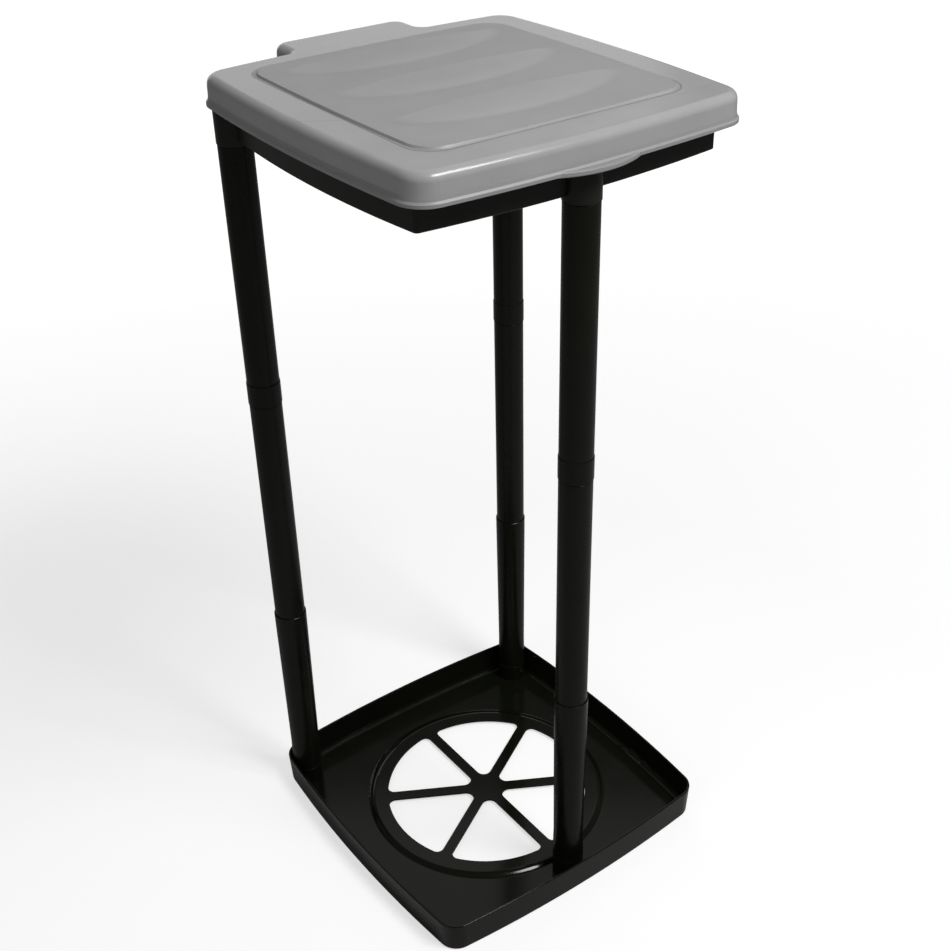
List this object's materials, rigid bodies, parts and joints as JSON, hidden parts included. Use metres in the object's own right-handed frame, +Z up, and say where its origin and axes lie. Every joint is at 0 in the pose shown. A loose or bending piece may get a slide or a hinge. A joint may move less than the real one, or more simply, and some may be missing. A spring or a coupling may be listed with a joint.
{
  "type": "bin bag holder",
  "caption": "Free-standing bin bag holder: square tray with a spoked opening, legs of plug-together tubes, a square frame that a bag's mouth folds over, and a hinged lid.",
  "frame": {"origin": "centre of the tray's outline, on the floor that the tray stands on", "axes": "+Z up along the legs, -Y towards the front with the single leg and the finger tab, +Y towards the hinge, +X to the right of someone who faces the front and looks along +Y"},
  "size_m": [0.3438, 0.385, 0.7976],
  "materials": {
    "black_plastic": "satin black polypropylene",
    "grey_plastic": "satin mid-grey polypropylene"
  },
  "bodies": {
    "stand": {"base_tray": "black_plastic", "front_leg_lower": "black_plastic", "front_leg_middle": "black_plastic", "front_leg_upper": "black_plastic", "rear_left_leg_lower": "black_plastic", "rear_left_leg_middle": "black_plastic", "rear_left_leg_upper": "black_plastic", "rear_right_leg_lower": "black_plastic", "rear_right_leg_middle": "black_plastic", "rear_right_leg_upper": "black_plastic", "top_frame": "black_plastic"},
    "lid": {"lid": "grey_plastic"}
  },
  "joints": [
    {"name": "lid_hinge", "type": "hinge", "parent": "stand", "child": "lid", "pos_m": [0, 0.1978, 0.77375], "axis": [-1, 0, 0], "range_deg": [0, 105]}
  ]
}
